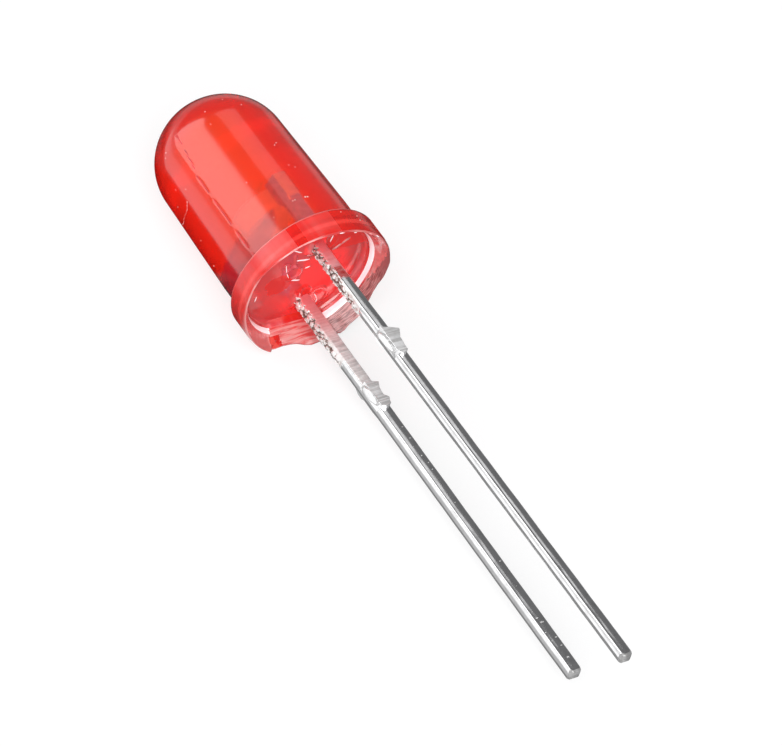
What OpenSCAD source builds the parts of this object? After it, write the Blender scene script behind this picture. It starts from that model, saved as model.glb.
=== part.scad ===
// 5 mm through-hole LED, lying on the flat of its flange with the lens axis level.
// X runs from the lens towards the lead tips and Z is up. The origin is on the lens
// axis, in the plane of the flange's lower rim. Inside lie(), a piece is drawn upright:
// Z runs from the rim up into the dome, and X from the cathode to the anode.

/* [Lens] */
// Radius of the barrel where it meets the flange
barrel_r = 2.5; // [2.4:0.01:2.6]
// Radius of the dome, smaller than the barrel by the mould's draft
dome_r = 2.39; // [2.3:0.01:2.4]
// Height of the lens from the lower rim to the top of the dome
lens_h = 8.63; // [8:0.01:10]
// Height of the straight band above the flange, which a panel hole locates
land_h = 1.2; // [0.6:0.1:2]
// Radius of the flange
flange_r = 2.82; // [2.75:0.01:3]
// Height of the flange
flange_h = 0.97; // [0.9:0.01:1.2]

/* [Recess under the lens] */
// Depth of the hollow that the resin left as it cured
recess_depth = 0.88; // [0.6:0.01:0.9]
// Width of the lip left round the hollow
lip_w = 0.06; // [0.04:0.01:0.1]
// Radius of the hollow's floor
floor_r = 2.38; // [2.2:0.01:2.45]
// Radius of the fillet between the floor and the wall
floor_fillet = 0.22; // [0.1:0.01:0.3]
// Height of the resin drawn up round each lead
collar_h = 0.16; // [0.08:0.01:0.25]

/* [Leads] */
// Distance between the leads where they leave the resin
pitch = 2.54; // [2.5:0.01:2.6]
// Thickness of the strip that both leads are stamped from
strip_t = 0.43; // [0.35:0.01:0.45]
// Width of the cathode lead
cathode_w = 0.48; // [0.4:0.01:0.5]
// Width of the anode lead
anode_w = 0.47; // [0.4:0.01:0.5]
// Radius of the leads' long edges
edge_r = 0.1; // [0.03:0.01:0.12]
// Length of the cathode lead below the rim
cathode_l = 16.7; // [10:0.1:26]
// Length of the anode lead below the rim
anode_l = 18.4; // [11:0.1:28]
// Angle by which each lead leans away from the other
splay = 0.34; // [0:0.01:1]
// Distance of the leads' plane from the lens axis
strip_offset = 0.13; // [0:0.01:0.2]

/* [Stand-off lugs] */
// Distance from the rim to the top of the lugs
lug_top = 3.3; // [2:0.1:5]
// Height of a lug, which is the width of the cut tie bar
lug_h = 1.15; // [0.8:0.05:1.5]
// How far a lug stands out on the anode's side of its lead
lug_out = 0.16; // [0.1:0.01:0.3]
// How far a lug stands out on the cathode's side of its lead
lug_back = 0.1; // [0.1:0.01:0.3]

/* [Die and wire] */
// Height of the reflector cup's rim above the lower rim of the flange
cup_z = 3.6; // [3.5:0.1:4]
// Outer radius of the reflector cup
cup_r = 0.62; // [0.6:0.01:0.65]
// Depth of the reflector cup
cup_depth = 0.28; // [0.25:0.01:0.32]
// Width of the square die
die_w = 0.32; // [0.25:0.01:0.34]
// Height of the die
die_h = 0.22; // [0.15:0.01:0.25]
// Thickness of the silver paste under the die
paste_t = 0.03; // [0.02:0.01:0.04]
// Radius of the bond wire
wire_r = 0.02; // [0.015:0.005:0.02]
// Radius of the wire's arc from the die to the post
wire_bend = 0.6; // [0.58:0.01:0.8]

/* [Hidden] */
$fn = 96;
e = 0.01;

dome_z = lens_h - dome_r;
flat_x = -barrel_r;
cathode_x = -pitch / 2;
anode_x = pitch / 2;

// the hollow's sloping wall ends below the fillet, and its flat side slopes as well
wall_z = recess_depth * 0.68;
wall_in = floor_r + 0.09;
flat_wall_x = flat_x + 0.35;
flat_floor_x = flat_x + 0.43;
collar_tip_r = 0.3;
collar_foot_r = 0.46;

// the strip inside the lens: the straight leads end, the cathode carries the cup
// on an anvil, and the anode ends in a post beside it
lead_root = 1.5;
anvil_w = 0.53;
neck_z = 2.1;
anvil_z = 3.3;
cup_h = 0.8;
cup_floor = cup_z - cup_depth;
cup_floor_r = 0.28;
cup_mouth_r = 0.52;
paste_r = 0.23;
die_z = cup_floor + paste_t;
wire_z = die_z + die_h;
post_in = cup_r + 0.23;
post_foot_z = 2.4;
post_z = cup_z + 0.05;

// the bond wire is one arc from the ball on the die to the stitch on the post
ball_r = 0.05;
stitch_r = 0.06;
bond_h = 0.036;
stitch_x = post_in + 0.2;
wire_from = [0, wire_z + bond_h / 2];
wire_to = [stitch_x, post_z + bond_h / 2];
wire_dip = wire_to - wire_from;
wire_tilt = atan2(wire_dip[1], wire_dip[0]);
wire_half = asin(norm(wire_dip) / 2 / wire_bend);
wire_centre = (wire_from + wire_to) / 2
    + wire_bend * cos(wire_half) * [sin(wire_tilt), -cos(wire_tilt)];

// turns an upright piece down onto the flange's flat
module lie() {
    rotate([0, -90, 0]) children();
}

// outline drawn in the leads' plane, given the thickness of the strip
module stamped(outline) {
    rotate([90, 0, 0]) linear_extrude(strip_t, center = true) polygon(outline);
}

// square with rounded corners
module rounded(w, h, r) {
    square([w - 2 * r, h], center = true);
    square([w, h - 2 * r], center = true);
    for (x = [-1, 1], y = [-1, 1])
        translate([x * (w / 2 - r), y * (h / 2 - r)]) circle(r, $fn = 24);
}

// straight lead with its pair of lugs, leaning by the given angle
module lead_bar(x, w, l, lean) {
    far = w / 2 + lug_out;
    near = -w / 2 - lug_back;
    slope = 0.14;
    foot = -lug_top - lug_h;
    translate([x, 0, 0]) rotate([0, lean, 0]) {
        translate([0, 0, -l]) linear_extrude(l + lead_root + 0.3) rounded(w, strip_t, edge_r);
        stamped([
            [0, -lug_top + slope], [far, -lug_top - slope], [far, foot], [w / 2 - edge_r, foot],
            [0, foot - slope], [near, foot + slope], [near, -lug_top - slope]
        ]);
    }
}

// outside of the lens before anything is taken out
module lens_outside() {
    cylinder(h = flange_h, r = flange_r);
    cylinder(h = flange_h + land_h, r = barrel_r);
    translate([0, 0, flange_h + land_h])
        cylinder(h = dome_z - flange_h - land_h, r1 = barrel_r, r2 = dome_r);
    translate([0, 0, dome_z]) sphere(dome_r);
}

// hollow under the lens: a sloping wall, a fillet and a flat floor
module recess() {
    rim_r = flange_r - lip_w;
    intersection() {
        rotate_extrude()
            polygon(concat(
                [[0, -1], [rim_r, -1], [rim_r, 0], [wall_in, wall_z]],
                [for (a = [0 : 15 : 90])
                    [floor_r - floor_fillet * (1 - cos(a)), recess_depth - floor_fillet * (1 - sin(a))]],
                [[0, recess_depth]]
            ));
        rotate([90, 0, 0])
            linear_extrude(2 * flange_r, center = true)
                polygon([
                    [flat_x + lip_w, -1], [flat_x + lip_w, 0], [flat_wall_x, wall_z],
                    [flat_floor_x, recess_depth], [flange_r, recess_depth], [flange_r, -1]
                ]);
    }
}

// thin flash left standing along the foot of the flat
module flash() {
    translate([flat_x, 0, 0]) rotate([90, 0, 90]) linear_extrude(lip_w)
        polygon([
            [-1.28, e], [-1.26, -0.05], [-0.76, -0.02], [-0.24, -0.09], [0.02, -0.23],
            [0.27, -0.31], [0.84, -0.25], [1.22, -0.19], [1.28, e]
        ]);
}

// resin drawn up round a lead
module collar(x) {
    translate([x, strip_offset, recess_depth - collar_h])
        cylinder(h = collar_h + e, r1 = collar_tip_r, r2 = collar_foot_r);
}

// everything that the resin was cast round
module embedded() {
    cathode_upright();
    anode_upright();
    paste_upright();
    die_upright();
    wire_upright();
}

module cathode_upright() {
    lead_x = [cathode_x - cathode_w / 2, cathode_x + cathode_w / 2];
    translate([0, strip_offset, 0]) {
        lead_bar(cathode_x, cathode_w, cathode_l, splay);
        stamped([
            [lead_x[0], lead_root], [lead_x[0], neck_z], [cathode_x - anvil_w, 2.35],
            [cathode_x - anvil_w, 2.95], [-cup_r + 0.05, anvil_z], [cup_r - 0.05, anvil_z],
            [cup_r - 0.05, 2.75], [0.3, 2.3], [-0.3, 2], [lead_x[1], 1.9], [lead_x[1], lead_root]
        ]);
        difference() {
            translate([0, 0, cup_z - cup_h]) cylinder(h = cup_h, r = cup_r);
            translate([0, 0, cup_floor]) cylinder(h = cup_depth, r1 = cup_floor_r, r2 = cup_mouth_r);
            translate([0, 0, cup_z - e]) cylinder(h = 2 * e, r = cup_mouth_r);
        }
    }
}

module anode_upright() {
    lead_x = [anode_x - anode_w / 2, anode_x + anode_w / 2];
    post_out = lead_x[1] + 0.12;
    translate([0, strip_offset, 0]) {
        lead_bar(anode_x, anode_w, anode_l, -splay);
        stamped([
            [lead_x[0], lead_root], [lead_x[0], post_foot_z], [post_in, 2.7], [post_in, post_z],
            [post_out, post_z], [post_out, 2.7], [lead_x[1], post_foot_z], [lead_x[1], lead_root]
        ]);
    }
}

module paste_upright() {
    translate([0, strip_offset, cup_floor]) cylinder(h = paste_t, r = paste_r);
}

module die_upright() {
    translate([-die_w / 2, strip_offset - die_w / 2, die_z]) cube([die_w, die_w, die_h]);
}

module wire_upright() {
    translate([0, strip_offset, 0]) {
        translate([0, 0, wire_z]) cylinder(h = bond_h, r = ball_r);
        translate([wire_centre[0], 0, wire_centre[1]])
            rotate([90, 0, 0]) rotate([0, 0, 90 + wire_tilt - wire_half])
                rotate_extrude(angle = 2 * wire_half) translate([wire_bend, 0]) circle(wire_r, $fn = 24);
        translate([stitch_x, 0, post_z]) cylinder(h = bond_h, r = stitch_r);
    }
}

module lens() {
    color([0.86, 0.1, 0.1, 0.6]) lie() difference() {
        union() {
            difference() {
                lens_outside();
                recess();
                translate([flat_x - 1, -flange_r, -e]) cube([1, 2 * flange_r, flange_h + 2 * e]);
            }
            flash();
            collar(cathode_x);
            collar(anode_x);
        }
        embedded();
    }
}

module cathode_lead() {
    color([0.78, 0.78, 0.8]) lie() cathode_upright();
}

module anode_lead() {
    color([0.78, 0.78, 0.8]) lie() anode_upright();
}

module led_die() {
    color([0.5, 0.45, 0.3]) lie() die_upright();
}

module die_attach() {
    color([0.7, 0.7, 0.68]) lie() paste_upright();
}

module bond_wire() {
    color([0.9, 0.7, 0.3]) lie() wire_upright();
}

lens();
cathode_lead();
anode_lead();
led_die();
die_attach();
bond_wire();
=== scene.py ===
import math

import bmesh
import bpy
from mathutils import Matrix, Vector, noise


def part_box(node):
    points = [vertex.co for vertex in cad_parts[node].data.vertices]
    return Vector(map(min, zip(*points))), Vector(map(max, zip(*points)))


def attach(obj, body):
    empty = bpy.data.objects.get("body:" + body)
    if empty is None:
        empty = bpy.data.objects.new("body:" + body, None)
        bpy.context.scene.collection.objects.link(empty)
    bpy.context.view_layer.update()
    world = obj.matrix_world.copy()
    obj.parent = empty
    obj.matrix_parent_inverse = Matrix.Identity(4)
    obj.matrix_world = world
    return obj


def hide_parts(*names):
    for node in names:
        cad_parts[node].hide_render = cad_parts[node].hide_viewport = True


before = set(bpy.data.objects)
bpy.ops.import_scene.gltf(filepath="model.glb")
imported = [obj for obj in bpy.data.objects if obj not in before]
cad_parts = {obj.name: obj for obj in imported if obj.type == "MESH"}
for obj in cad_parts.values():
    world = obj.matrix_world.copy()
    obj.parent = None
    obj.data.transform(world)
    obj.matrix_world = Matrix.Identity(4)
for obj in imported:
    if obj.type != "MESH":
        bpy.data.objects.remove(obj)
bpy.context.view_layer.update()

# The leads: one strip of steel, tin plated, stamped into a ladder of leads that a tie bar
# holds together. Every lead is a square wire with rounded edges; the tie bar is sheared
# off at the end, which leaves two stubs, the lugs that stop the part on a circuit board.
MM = 0.001
STRIP_T = 0.43
STRIP_Y = 0.13
FRONT_Y = -STRIP_T / 2
CATHODE_W, ANODE_W = 0.48, 0.47
PITCH = 2.54
CATHODE_X, ANODE_X = -PITCH / 2, PITCH / 2
CATHODE_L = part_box("cathode_lead")[1].x / MM
ANODE_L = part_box("anode_lead")[1].x / MM
SPLAY = math.radians(0.34)
LUG_TOP, LUG_H = 3.3, 1.15
LUG_OUT, LUG_BACK = 0.14, 0.10
LUG_SLOPE = 0.14
SHANK_TOP = 2.0
TIP_R = 0.22
RECESS = 0.88
# the crust on the front of each lead, from below the lens up into its hollow
CRUST_FOOT, CRUST_TOP = -2.4, RECESS + 0.1
# the lengths a mesh is cut into: fine where it is worn, small where torn, long where plain
FINE_CUT, SMALL_CUT, LONG_CUT = 0.03, 0.06, 0.3
# the finishes of the leads, in the order of LEAD_METALS
TIN, CRUSTED, SHEARED, FILMED, SILVER, GRIME, SHADED_SILVER, CUT = range(8)

# Pieces are drawn upright, in millimetres: Z from the rim of the lens into its dome, X from
# the cathode to the anode. LIE turns them down onto the flat of the flange, in metres.
LIE = Matrix(((0, 0, -MM, 0), (0, MM, 0, 0), (MM, 0, 0, 0), (0, 0, 0, 1)))


def finish_piece(name, bm, materials, node, smooth_angle=40):
    """Turns an upright mesh into a piece that lies on the flat, in place of a plain solid."""
    bmesh.ops.transform(bm, matrix=LIE, verts=bm.verts)
    mesh = bpy.data.meshes.new(name)
    bm.to_mesh(mesh)
    bm.free()
    mesh.shade_smooth()
    mesh.set_sharp_from_angle(angle=math.radians(smooth_angle))
    for material in materials:
        mesh.materials.append(material)
    piece = bpy.data.objects.new(name, mesh)
    bpy.context.scene.collection.objects.link(piece)
    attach(piece, "root")
    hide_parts(node)


def stamp(outline, thickness, edge_r, turned=False):
    """A stamped piece: its outline in the plane of the strip, with the edges rounded.
    A turned piece has its outline across the strip instead, in Y and Z."""
    bm = bmesh.new()
    face = bm.faces.new([bm.verts.new((x, -thickness / 2, z)) for x, z in outline])
    side = bmesh.ops.extrude_face_region(bm, geom=[face], use_keep_orig=True)
    bmesh.ops.translate(
        bm, vec=(0, thickness, 0), verts=[v for v in side["geom"] if isinstance(v, bmesh.types.BMVert)])
    bmesh.ops.recalc_face_normals(bm, faces=bm.faces)
    rims = [e for e in bm.edges if abs(e.verts[0].co.y - e.verts[1].co.y) < thickness / 2]
    bmesh.ops.bevel(bm, geom=rims, offset=edge_r, offset_type="OFFSET", segments=5, profile=0.5,
                    affect="EDGES", clamp_overlap=True, material=-1)
    bmesh.ops.remove_doubles(bm, verts=bm.verts, dist=0.0005)
    if turned:
        bmesh.ops.rotate(bm, verts=bm.verts, cent=(0, 0, 0), matrix=Matrix.Rotation(math.pi / 2, 3, "Z"))
    return bm


def slice_piece(bm, way, low, high, step):
    """Cuts a piece into short lengths along X, Y or Z, so that it can be worn unevenly."""
    for i in range(int((high - low) / step) + 1):
        geom = list(bm.verts) + list(bm.edges) + list(bm.faces)
        bmesh.ops.bisect_plane(
            bm, geom=geom, dist=0.0001, plane_co=Vector(way) * (low + i * step), plane_no=way)


def lead_outline(w, length):
    """One side of the ladder: the shank with the lug at its back, from the tip up."""
    h = w / 2
    foot = -LUG_TOP - LUG_H
    return [
        (-h + 0.17, -length), (h - 0.10, -length), (h - 0.02, -length + 0.03), (h, -length + 0.09),
        (h, SHANK_TOP), (-h, SHANK_TOP), (-h, -LUG_TOP + 0.05), (-h - LUG_BACK, -LUG_TOP - LUG_SLOPE),
        (-h - LUG_BACK, -LUG_TOP - 0.35), (-h - 0.02, -LUG_TOP - 0.5), (-h - 0.03, foot + 0.1),
        (-h, foot - 0.2), (-h, -length + 0.20), (-h + 0.04, -length + 0.08),
    ]


def along(table, at):
    """Reads a table of places and heights, with straight lines between its places."""
    for (a, p), (b, q) in zip(table, table[1:]):
        if a <= at <= b:
            return p + (q - p) * (at - a) / (b - a)
    return table[0][1] if at < table[0][0] else table[-1][1]


def waver(bm, amount, seed):
    """Bends a lead very slightly to and fro, as handling does."""
    for v in bm.verts:
        p = Vector((v.co.x * 0.6, v.co.y * 0.6, v.co.z * 1.1 + seed))
        v.co.x += amount * noise.noise(p)
        v.co.y += amount * noise.noise(p + Vector((7, 3, 1)))


def cobbles(x, z, cell):
    """Height, from 0 to 1, of round blobs that crowd each other with grooves between."""
    near = noise.voronoi(Vector((x, z, 0.5)) / cell)[0]
    return min(max(near[1] - near[0], 0) * 2.2, 1) ** 0.5


def crust(bm, w, seed):
    """Lumpy plating and resin on the front of a lead near the lens."""
    gap = bm.verts.layers.float.new("gap")
    for v in bm.verts:
        if not CRUST_FOOT < v.co.z < CRUST_TOP or v.co.y > FRONT_Y + 0.16:
            continue
        worn = min((v.co.z - CRUST_FOOT) / 0.5, 1) * min((CRUST_TOP - v.co.z) / 0.2, 1)
        # further down, only the half on the side of the flat is crusted
        across = (v.co.x + w / 2) / w
        reach = 1.1 if v.co.z > -0.6 else 1.1 - 0.55 * (-0.6 - v.co.z) / 1.8
        worn *= min(max((reach - across) / 0.2, 0), 1)
        blob = cobbles(v.co.x * 1.2 + seed, v.co.z, 0.23)
        lump = blob + 0.35 * cobbles(v.co.x + seed, v.co.z, 0.09)
        v[gap] = worn * (1 - blob)
        v.co.y -= worn * (0.085 * lump - 0.05)
        v.co.x -= worn * 0.03 * cobbles(v.co.z + seed, v.co.y, 0.13) * (1 if across < 0.3 else 0)


def paint_faces(bm, index, wanted=lambda centre, normal: True):
    """Gives a finish to the faces that are wanted, or to all of them."""
    for f in bm.faces:
        if wanted(f.calc_center_median(), f.normal):
            f.material_index = index


def add_copy(bm, other):
    """Joins another piece to a mesh; the two were one casting or one stamping."""
    mesh = bpy.data.meshes.new("scrap")
    other.to_mesh(mesh)
    other.free()
    bm.from_mesh(mesh)
    bpy.data.meshes.remove(mesh)


def new_group(name, given, made):
    """An empty node group with its named inputs and outputs."""
    group = bpy.data.node_groups.new(name, "ShaderNodeTree")
    for way, sockets in (("INPUT", given), ("OUTPUT", made)):
        for socket, kind in sockets:
            group.interface.new_socket(socket, in_out=way, socket_type="NodeSocket" + kind)
    return group, group.nodes, group.links.new


def stretched_place(nodes, link, scale):
    """The place on the piece, multiplied by a scale for X, Y and Z that a socket gives."""
    stretch = nodes.new("ShaderNodeVectorMath")
    stretch.operation = "MULTIPLY"
    link(nodes.new("ShaderNodeTexCoord").outputs["Object"], stretch.inputs[0])
    link(scale, stretch.inputs[1])
    return stretch.outputs["Vector"]


def noise_node(nodes, link, vector, scale, detail=4, rough=0.5):
    """A Noise Texture, for clouds, marks and grain."""
    grain = nodes.new("ShaderNodeTexNoise")
    grain.inputs["Scale"].default_value = scale
    grain.inputs["Detail"].default_value = detail
    grain.inputs["Roughness"].default_value = rough
    link(vector, grain.inputs["Vector"])
    return grain.outputs["Fac"]


def ramp_node(nodes, link, value, low, high, to_low=0.0, to_high=1.0, smooth=False):
    """A Map Range node, which takes low to to_low and high to to_high."""
    ramp = nodes.new("ShaderNodeMapRange")
    if smooth:
        ramp.interpolation_type = "SMOOTHSTEP"
    for socket, number in (("From Min", low), ("From Max", high), ("To Min", to_low), ("To Max", to_high)):
        ramp.inputs[socket].default_value = number
    link(value, ramp.inputs["Value"])
    return ramp.outputs["Result"]


def maths(nodes, link, operation, a, b):
    """A Math node; each side is a socket or a number."""
    node = nodes.new("ShaderNodeMath")
    node.operation = operation
    for i, side in enumerate((a, b)):
        if isinstance(side, (int, float)):
            node.inputs[i].default_value = side
        else:
            link(side, node.inputs[i])
    return node.outputs["Value"]


def mix_colours(nodes, link, factor, first, second):
    """A colour Mix node; each side is a socket or a colour."""
    mix = nodes.new("ShaderNodeMix")
    mix.data_type = "RGBA"
    link(factor, mix.inputs["Factor"])
    for i, side in ((6, first), (7, second)):
        if isinstance(side, tuple):
            mix.inputs[i].default_value = (*side, 1)
        else:
            link(side, mix.inputs[i])
    return mix.outputs[2]


def metal_group():
    """Worn metal: clouds of tarnish, marks drawn one way, and pits with dirt in them."""
    group, nodes, link = new_group(
        "worn_metal",
        [("Clean", "Color"), ("Dull", "Color"), ("Dirt", "Color"), ("Dirt Amount", "Float"),
         ("Smooth", "Float"), ("Rough", "Float"), ("Mark Scale", "Vector"), ("Mark Shade", "Float")],
        [("Color", "Color"), ("Roughness", "Float"), ("Height", "Float")])
    given, out = nodes.new("NodeGroupInput"), nodes.new("NodeGroupOutput")
    marks = noise_node(nodes, link, stretched_place(nodes, link, given.outputs["Mark Scale"]), 1, 3)
    place = nodes.new("ShaderNodeTexCoord").outputs["Object"]
    clouds = noise_node(nodes, link, place, 2300, 5, 0.6)
    patch = ramp_node(nodes, link, clouds, 0.38, 0.68)
    pits = ramp_node(nodes, link, noise_node(nodes, link, place, 7000, 3), 0.52, 0.68)
    dirt = maths(nodes, link, "MULTIPLY", pits, given.outputs["Dirt Amount"])
    tone = mix_colours(nodes, link, patch, given.outputs["Clean"], given.outputs["Dull"])
    lines = ramp_node(nodes, link, marks, 0.42, 0.60)
    shade = maths(nodes, link, "MULTIPLY", lines, given.outputs["Mark Shade"])
    tone = mix_colours(nodes, link, shade, tone, given.outputs["Dirt"])
    link(mix_colours(nodes, link, dirt, tone, given.outputs["Dirt"]), out.inputs["Color"])
    sheen = nodes.new("ShaderNodeMix")
    link(patch, sheen.inputs["Factor"])
    link(given.outputs["Smooth"], sheen.inputs["A"])
    link(given.outputs["Rough"], sheen.inputs["B"])
    link(sheen.outputs["Result"], out.inputs["Roughness"])
    link(marks, out.inputs["Height"])
    return group


def shader(name):
    """A material with its Principled shader, ready for its pattern."""
    material = bpy.data.materials.new(name)
    material.use_nodes = True
    nodes = material.node_tree.nodes
    return material, nodes, material.node_tree.links.new, nodes["Principled BSDF"]


def placed_group(nodes, group, values):
    """A shared effect in one material, with that material's own values."""
    node = nodes.new("ShaderNodeGroup")
    node.node_tree = group
    for socket, value in values.items():
        node.inputs[socket].default_value = value
    return node


WORN_METAL = metal_group()


def metal(name, clean, dull, dirt, dirt_amount, smooth, rough, mark_scale, mark_depth,
          mark_shade=0.0, metallic=1.0):
    """Worn metal of one finish: its tones, its gloss where it is clean and where it is
    dull, and how its marks run, how deep and dark they are."""
    material, nodes, link, gloss = shader(name)
    gloss.inputs["Metallic"].default_value = metallic
    worn = placed_group(nodes, WORN_METAL, {
        "Clean": (*clean, 1), "Dull": (*dull, 1), "Dirt": (*dirt, 1), "Dirt Amount": dirt_amount,
        "Smooth": smooth, "Rough": rough, "Mark Scale": mark_scale, "Mark Shade": mark_shade})
    relief = nodes.new("ShaderNodeBump")
    relief.inputs["Distance"].default_value = mark_depth
    link(worn.outputs["Height"], relief.inputs["Height"])
    link(relief.outputs["Normal"], gloss.inputs["Normal"])
    link(worn.outputs["Color"], gloss.inputs["Base Color"])
    link(worn.outputs["Roughness"], gloss.inputs["Roughness"])
    return material


tin = metal(
    "tin_plate", clean=(0.96, 0.96, 0.97), dull=(0.80, 0.80, 0.81), dirt=(0.30, 0.27, 0.25),
    dirt_amount=0.10, smooth=0.06, rough=0.14, mark_scale=(250, 9000, 9000), mark_depth=0.0000015)
crusted = metal(
    "crusted_tin", clean=(0.98, 0.97, 0.96), dull=(0.88, 0.85, 0.82), dirt=(0.30, 0.20, 0.17),
    dirt_amount=0.35, smooth=0.12, rough=0.30, mark_scale=(6000, 6000, 6000),
    mark_depth=0.000006, metallic=0.25)
grime = metal(
    "grime", clean=(0.26, 0.17, 0.14), dull=(0.12, 0.07, 0.06), dirt=(0.55, 0.46, 0.42),
    dirt_amount=0.6, smooth=0.35, rough=0.6, mark_scale=(9000, 9000, 9000),
    mark_depth=0.000006, metallic=0.2)
sheared = metal(
    "sheared_steel", clean=(0.76, 0.76, 0.76), dull=(0.66, 0.66, 0.66), dirt=(0.30, 0.29, 0.28),
    dirt_amount=0.2, smooth=0.40, rough=0.55, mark_scale=(9500, 400, 400),
    mark_depth=0.000020, mark_shade=0.6, metallic=0.2)
filmed = metal(
    "filmed_tin", clean=(0.88, 0.87, 0.86), dull=(0.76, 0.74, 0.73), dirt=(0.26, 0.20, 0.19),
    dirt_amount=0.2, smooth=0.30, rough=0.45, mark_scale=(8500, 900, 900),
    mark_depth=0.000012, mark_shade=0.4, metallic=0.3)
matte_silver = metal(
    "matte_silver", clean=(0.86, 0.80, 0.92), dull=(0.74, 0.66, 0.82), dirt=(0.30, 0.26, 0.24),
    dirt_amount=0.2, smooth=0.45, rough=0.60, mark_scale=(3000, 3000, 3000),
    mark_depth=0.000003, metallic=0.3)
painted_shade_silver = metal(
    "silver_with_painted_shade", clean=(0.60, 0.38, 0.66), dull=(0.44, 0.25, 0.50), dirt=(0.20, 0.16, 0.15),
    dirt_amount=0.3, smooth=0.45, rough=0.60, mark_scale=(3000, 3000, 3000),
    mark_depth=0.000003, metallic=0.3)
cut_steel = metal(
    "cut_steel", clean=(0.50, 0.50, 0.50), dull=(0.34, 0.34, 0.34), dirt=(0.18, 0.17, 0.16),
    dirt_amount=0.3, smooth=0.35, rough=0.50, mark_scale=(5000, 5000, 5000),
    mark_depth=0.000008, mark_shade=0.3, metallic=0.3)
LEAD_METALS = [tin, crusted, sheared, filmed, matte_silver, grime, painted_shade_silver, cut_steel]
# resin drawn down the leads tints the film on them, less and less away from the lens
nodes, link = filmed.node_tree.nodes, filmed.node_tree.links.new
axes = nodes.new("ShaderNodeSeparateXYZ")
link(nodes.new("ShaderNodeTexCoord").outputs["Object"], axes.inputs["Vector"])
base = nodes["Principled BSDF"].inputs["Base Color"]
fade = ramp_node(nodes, link, axes.outputs["X"], -0.0009, 0.0020, smooth=True)
link(mix_colours(nodes, link, fade, (0.90, 0.20, 0.22), base.links[0].from_socket), base)
# the silver inside the lens gets a faint violet glow of its own, a painted light that real silver has not, so
# that it shows a little violet through the red resin
for inside, tint, glow in ((matte_silver, (0.9, 0.6, 1.0, 1), 0.20), (painted_shade_silver, (0.14, 0.12, 1.0, 1), 0.32)):
    gloss = inside.node_tree.nodes["Principled BSDF"]
    gloss.inputs["Emission Color"].default_value = tint
    gloss.inputs["Emission Strength"].default_value = glow


def shank(w, length, seed, edge_r, front):
    """A worn leg from its tip up into the lens. The front gives how far it lies back at
    places across it, where stamping rolled it over."""
    bm = stamp(lead_outline(w, length), STRIP_T, edge_r)
    slice_piece(bm, (0, 0, 1), -length + LONG_CUT, CRUST_FOOT - 0.2, LONG_CUT)
    slice_piece(bm, (0, 0, 1), CRUST_FOOT - 0.1, CRUST_TOP + 0.02, FINE_CUT)
    slice_piece(bm, (1, 0, 0), -w / 2 + FINE_CUT, w / 2 - FINE_CUT, FINE_CUT)
    for v in bm.verts:
        off = min(max(v.co.x, -w / 2), w / 2)
        if v.co.y < 0:
            v.co.y = (FRONT_Y if off < 0 else v.co.y) + along(front, off)
    # the cut at the tip is tumbled round
    slice_piece(bm, (0, 0, 1), -length + FINE_CUT, -length + TIP_R, FINE_CUT)
    for v in bm.verts:
        if v.co.z < -length + TIP_R:
            share = (-length + TIP_R - v.co.z) / TIP_R
            v.co.x *= math.sqrt(1 - (0.50 if v.co.x < 0 else 0.15) * share ** 2)
            v.co.y *= math.sqrt(1 - 0.70 * share ** 2)
    waver(bm, 0.010, seed)
    crust(bm, w, seed)
    bm.normal_update()
    paint_faces(bm, CRUSTED, lambda c, n: CRUST_FOOT + 0.1 < c.z < CRUST_TOP and c.y < FRONT_Y + 0.05)
    paint_faces(bm, CUT, lambda c, n: n.z < -0.07 and c.z < -length + TIP_R)
    # dirt sits in the gaps between the lumps
    gap = bm.verts.layers.float["gap"]
    for f in bm.faces:
        if sum(v[gap] for v in f.verts) / len(f.verts) > 0.49:
            f.material_index = GRIME
    return bm


def torn_lug(w, seed, side):
    """The larger stub of the tie bar, on the upper side of a leg, torn at its end by the
    shears. Its outline is given from the side."""
    out = w / 2 + LUG_OUT
    bm = stamp(side, out, 0.025, turned=True)
    bmesh.ops.translate(bm, vec=(out / 2, 0, 0), verts=bm.verts)
    slice_piece(bm, (0, 0, 1), -4.7, -3.4, SMALL_CUT)
    bm.normal_update()
    paint_faces(bm, SHEARED, lambda c, n: n.x > 0.5 or n.y > 0.3)
    for v in bm.verts:
        if v.co.y < FRONT_Y + 0.05:
            v.co.y += 0.17 * v.co.x
        if v.co.x > out - 0.06:
            v.co.x += 0.012 * noise.noise(Vector((v.co.y * 3, seed, v.co.z * 16)))
            v.co.y += 0.02 * noise.noise(Vector((seed, v.co.y, v.co.z * 9)))
    return bm


def facet_step(facet, tilt, grow, depth, index):
    """One step of the facet that the punch pressed on the front of a lug."""
    centre = Vector((sum(q[0] for q in facet), sum(q[1] for q in facet))) / len(facet)
    bm = stamp([tuple(centre + (Vector(q) - centre) * grow) for q in facet], 0.05, 0.01)
    for v in bm.verts:
        v.co.y += FRONT_Y + 0.040 - depth + tilt * (v.co.x - 0.15)
    paint_faces(bm, index)
    return bm


def lead(x, w, length, lean, seed, edge_r, front, lug_side, facet, facet_tilt):
    """A whole leg below the resin: the shank, the lug with its facet, and a burr."""
    bm = shank(w, length, seed, edge_r, front)
    add_copy(bm, torn_lug(w, seed, lug_side))
    # the facet is smooth, with a dull edge round it
    for grow, depth, index in ((1.0, 0.030, SHEARED), (0.84, 0.040, TIN)):
        add_copy(bm, facet_step(facet, facet_tilt, grow, depth, index))
    h = w / 2
    burr = stamp(
        [(-h - 0.04, -4.42), (-h + 0.02, -4.40), (-h + 0.05, -4.86), (-h + 0.01, -4.88)], 0.05, 0.006)
    bmesh.ops.translate(burr, vec=(0, FRONT_Y + 0.11, 0), verts=burr.verts)
    add_copy(bm, burr)
    bmesh.ops.transform(bm, verts=bm.verts,
                        matrix=Matrix.Translation((x, STRIP_Y, 0)) @ Matrix.Rotation(lean, 4, "Y"))
    return bm


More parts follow.
